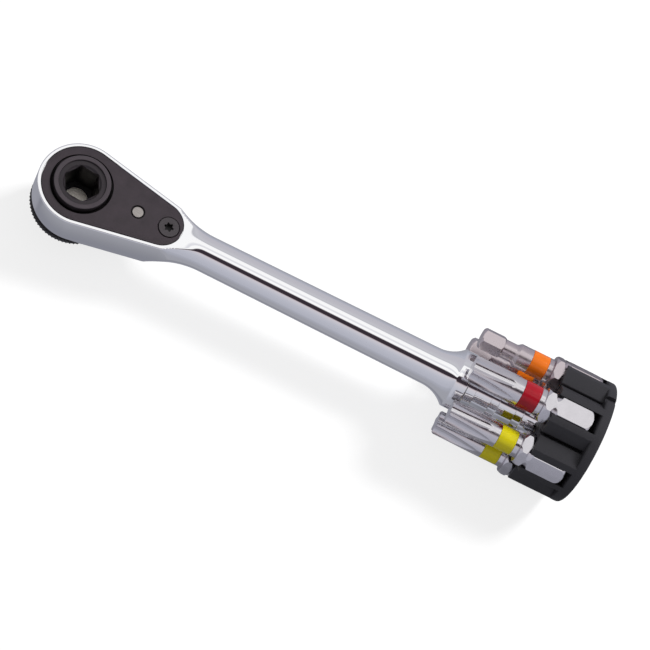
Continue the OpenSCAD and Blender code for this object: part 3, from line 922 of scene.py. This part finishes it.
def axle_ring(r, x, count):
    """Round ring about the handle's axis."""
    return on_handle([turned(r, 0, 2 * math.pi * i / count) for i in range(count)], x)


def nylon_paint():
    """Moulded nylon: near black, with the fine matt texture of the mould and scuffs from handling."""
    paint, shader, tree = new_paint("black_nylon")
    place = place_of(tree)
    cloud = noise(tree, place, 300, 4)
    tone = ramp(tree, cloud, ((0.3, (0.022, 0.021, 0.025)), (0.75, (0.032, 0.031, 0.036))))
    feed(shader, Base_Color=tone, Roughness=spread(tree, cloud, 0.5, 0.62))
    emboss(tree, shader, noise(tree, place, 6500, 2), 0.5, 0.00004)
    return paint


half_line = rounded(finger_half(), 4)
pocket_line = half_line + [(a, -b) for a, b in reversed(half_line[:-1])]
outline = []
for k in range(pocket_count):
    t = first_pocket - k * 2 * math.pi / pocket_count
    outline += [turned(a, b, t) for a, b in pocket_line[:-1]]
carousel = add_mesh("nylon_carousel", [
    on_handle(inset_line(outline, finger_round), finger_x),
    on_handle(inset_line(outline, 0.025), finger_x + 0.025),
    on_handle(outline, finger_x + finger_round),
    on_handle(outline, disc_x + 0.6),
])
disc_levels = rounded([
    (disc_x, 1.0, 0), (disc_x, disc_r, disc_round), (disc_end_x, disc_r, disc_round), (disc_end_x, 1.0, 0),
], 8)
carve(carousel, add_mesh("disc", [axle_ring(r, x, disc_steps) for x, r in disc_levels]), "UNION")
carve(carousel, add_mesh("cutter", [axle_ring(r, x, 96) for r, x in bore_levels]))
notch_t = first_pocket - math.pi / pocket_count
near, far = notch_radii
notch_corners = ((near, -notch_half_w), (far, -notch_half_w), (far, notch_half_w), (near, notch_half_w))
notch_line = [turned(out, side, notch_t) for out, side in notch_corners]
carve(carousel, add_mesh("cutter", [on_handle(notch_line, x) for x in (disc_x - 1, disc_end_x + 1)]))
finish_piece(carousel, nylon_paint(), "carousel", "bit_carousel")


# Friction ring. A rubber ring that is pressed over the stem into its last groove. It keeps the
# carousel on and makes it turn with some drag.
def rubber_paint():
    """Black rubber with a faint grey bloom."""
    paint, shader, tree = new_paint("ring_rubber")
    bloom = noise(tree, place_of(tree), 700, 3)
    tone = ramp(tree, bloom, ((0, (0.012, 0.012, 0.012)), (1, (0.03, 0.03, 0.03))))
    feed(shader, Base_Color=tone, Roughness=0.6)
    return paint


paint_node("friction_ring", rubber_paint())


# Bits. Six hardened steel insert bits: turned and milled from hexagonal bar, blasted satin grey.
# Four have star tips with six flutes, two have hexagonal tips with a reduced neck. Each carries a
# coloured plastic sleeve, let into a seat.
bit_l = 25
bit_af = 6.35
shank_l = 10
collar_l = 1.1
band_w = 3.5
band_t = 0.2
band_play = 0.02
band_round = 0.08
shank_start = bit_l - shank_l
band_end = shank_start - collar_l
band_start = band_end - band_w
tip_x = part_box("bit_1")[0].x / mm
sector = math.pi / 3
sector_steps = 20
edge_steps = 12
flute_r = 1.5
least_flute_edge = 0.2
least_hex_edge = 0.26
shank_play = 0.02
shank_corner_play = 0.05
lead_slope = 0.72
notch_h = 2.2
notch_r = 0.8
tail_l = 1.5
tail_core_r = 2.75
tail_round_r = 0.92
tail_slope = 0.61
tail_marks = (tail_l, 1.3, 1.1, 0.9, 0.7, 0.5, 0.3, 0.15, 0)
star_chamfer = 0.3
flute_l = 9.2
flute_share = 0.31
flute_fade = 1.6
least_flute = 0.0005
flute_rings = 40
key_l = 4.6
key_end_share = 0.93
key_chamfer_l = 0.8
key_neck_l = 3.2
key_neck_inset = 0.15
# Letter, kind of tip, radius of the body, colour of the sleeve and width of a hexagonal tip.
bits = (
    ("a", "star", 2.75, "red", 0), ("b", "star", 2.45, "yellow", 0), ("c", "star", 2.45, "yellow", 0),
    ("d", "star", 2.75, "red", 0), ("e", "key", 2.75, "orange", 5), ("f", "key", 2.45, "orange", 4),
)


def sectors(z, edge, inside, outside):
    """Ring of six sectors, each with points over its flute or flat and over what lies beside it."""
    ring = []
    for k in range(6):
        for i in range(edge_steps):
            t = -edge + 2 * edge * i / edge_steps
            ring.append((z, inside(t), k * sector + t))
        for i in range(sector_steps - edge_steps):
            t = edge + (sector - 2 * edge) * i / (sector_steps - edge_steps)
            ring.append((z, outside, k * sector + t))
    return ring


def fluted(z, r, depth):
    """Ring of the round body with six flutes of that depth."""
    far = r + flute_r - depth
    edge = math.acos(min(1, (far * far + r * r - flute_r * flute_r) / (2 * far * r)))

    def flute(t):
        across = far * math.sin(t)
        return min(far * math.cos(t) - math.sqrt(max(flute_r * flute_r - across * across, 0)), r)

    return sectors(z, max(edge, least_flute_edge), flute, r)


def hexed(z, af, limit):
    """Ring of a hexagon whose corners are turned down to the limit radius."""
    flat = af / 2
    edge = min(max(math.acos(min(1, flat / limit)), least_hex_edge), sector / 2)

    def side(t):
        return min(flat / math.cos(t), limit)

    return sectors(z, edge, side, side(edge))


def round_ring(z, r):
    """Ring of a round stretch, its points spread as on the other rings."""
    return [(z, r, k * sector + sector * i / sector_steps) for k in range(6) for i in range(sector_steps)]


def shank_rings(body_r):
    """Seat of the sleeve, collar and hexagonal shank with its chamfers and corner notches."""
    corner = bit_af / math.sqrt(3) + shank_corner_play
    flat = bit_af / 2 + shank_play
    rings = [round_ring(z, r) for z, r in rounded([
        (band_start, body_r - band_t, 0), (band_end, body_r - band_t, 0), (band_end, body_r, 0.1),
        (shank_start - 0.15, body_r, 0.1), (shank_start, body_r - 0.1, 0),
    ], 4)]
    heights = [0, 0.1, 0.25, 0.4, 0.55, 0.7, 1.0]
    heights += [notch_h - notch_r + 2 * notch_r * i / 12 for i in range(13)]
    heights += [3.4, 5, 7]
    heights += [shank_l - tail for tail in tail_marks]
    for h in heights:
        limit = min(corner, flat + h * lead_slope)
        dip = abs(h - notch_h)
        if dip < notch_r:
            limit = min(limit, flat + notch_r - math.sqrt(notch_r ** 2 - dip ** 2))
        tail = shank_l - h
        if tail < tail_l:
            bend = tail_round_r - tail * tail_slope
            limit = min(limit, tail_core_r + math.sqrt(max(tail_round_r ** 2 - bend ** 2, 0)))
        rings.append(hexed(shank_start + h, bit_af, limit))
    return rings


def star_rings(body_r):
    """Star tip: a small chamfer, flutes that grow shallower, and the round body up to the sleeve."""
    depth = flute_share * body_r
    rings = [fluted(z, body_r - inset, depth - inset) for z, inset in ((0, star_chamfer), (0.12, 0.12))]
    for i in range(flute_rings + 1):
        z = star_chamfer + (flute_l - star_chamfer) * i / flute_rings
        rings.append(fluted(z, body_r, max(depth * (1 - (z / flute_l) ** flute_fade), least_flute)))
    for z, r in ((flute_l + 0.3, body_r), (band_start - 0.05, body_r), (band_start, body_r - 0.04)):
        rings.append(fluted(z, r, 0))
    return rings


def key_rings(body_r, af):
    """Hexagonal tip with a chamfered end, its reduced neck, and the shoulder before the sleeve."""
    corner = af / math.sqrt(3)
    neck_r = af / 2 - key_neck_inset
    neck_end = key_l + key_neck_l
    shoulder_r = body_r - 0.05
    rings = []
    for i in range(8):
        h = key_chamfer_l * i / 7
        rings.append(hexed(h, af, min(af / 2 * key_end_share + h, corner)))
    for i in range(7):
        h = key_l - key_chamfer_l + key_chamfer_l * i / 6
        rings.append(hexed(h, af, min(neck_r + 0.08 + (key_l - h), corner)))
    rings += [round_ring(z, r) for z, r in rounded([
        (key_l + 0.02, neck_r, 0), (neck_end - 0.7, neck_r, 0.6), (neck_end, shoulder_r, 0.4),
        (band_start, shoulder_r, 0),
    ])]
    return rings


def sleeve_rings(body_r):
    """Outside of the sleeve, with its rounded edges."""
    start = band_start + band_play
    end = band_end - band_play
    inside = body_r - 1
    return [round_ring(z, r) for z, r in rounded([
        (start, inside, 0), (start, body_r, band_round), (end, body_r, band_round), (end, inside, 0),
    ], 4)]


def in_pocket(rings, index):
    """Puts a bit's rings, whose points are height, radius and angle, into its pocket."""
    t = first_pocket + index * 2 * math.pi / pocket_count
    placed = []
    for ring in rings:
        spots = [turned(bit_ring_r + r * math.cos(turn), r * math.sin(turn), t) for z, r, turn in ring]
        placed.append(on_handle(spots, tip_x + ring[0][0]))
    return placed


def steel_paint(name, low, high, polish):
    """Satin tool steel with fine turning marks round the bit and a little mottling."""
    paint, shader, tree = new_paint(name)
    marks = noise(tree, place_of(tree, (1, 0.12, 0.12)), 2600, 3)
    cloud = noise(tree, place_of(tree), 500, 4)
    tone = ramp(tree, cloud, ((0.3, low), (0.7, high)))
    feed(shader, Base_Color=tone, Metallic=1, Roughness=spread(tree, cloud, polish, polish + 0.1))
    emboss(tree, shader, marks, 0.12, 0.00002)
    return paint


def band_paint(name, colour):
    """Coloured sleeve: glossy plastic with a faint unevenness and fine scuffs."""
    paint, shader, tree = new_paint(name)
    cloud = noise(tree, place_of(tree), 600, 3)
    tone = ramp(tree, cloud, ((0.3, [c * 0.88 for c in colour]), (0.7, colour)))
    feed(shader, Base_Color=tone, Specular_IOR_Level=0.32, Roughness=spread(tree, cloud, 0.16, 0.26))
    emboss(tree, shader, cloud, 0.1, 0.00005)
    return paint


bit_steel = steel_paint("bit_steel", (0.71, 0.69, 0.71), (0.78, 0.755, 0.78), 0.15)
key_steel = steel_paint("key_steel", (0.61, 0.54, 0.56), (0.68, 0.605, 0.625), 0.24)
bands = {
    "red": band_paint("red_sleeve", (0.42, 0.008, 0.02)),
    "yellow": band_paint("yellow_sleeve", (0.80, 0.70, 0.01)),
    "orange": band_paint("orange_sleeve", (0.92, 0.20, 0.012)),
}
for index, (letter, kind, body_r, band, key_af) in enumerate(bits):
    number = index + 1
    tip = star_rings(body_r) if kind == "star" else key_rings(body_r, key_af)
    bit = add_mesh("%s_bit_%d" % (kind, number), in_pocket(tip + shank_rings(body_r), index))
    steel = bit_steel if kind == "star" else key_steel
    finish_piece(bit, steel, "bit_" + letter, "bit_%d" % number, sharp_deg=28)
    sleeve = add_mesh("sleeve_%d" % number, in_pocket(sleeve_rings(body_r), index))
    core = [round_ring(z, body_r - band_t) for z in (band_start - 1, band_end + 1)]
    carve(sleeve, add_mesh("cutter", in_pocket(core, index)))
    finish_piece(sleeve, bands[band], "bit_" + letter, "bit_%d_band" % number)
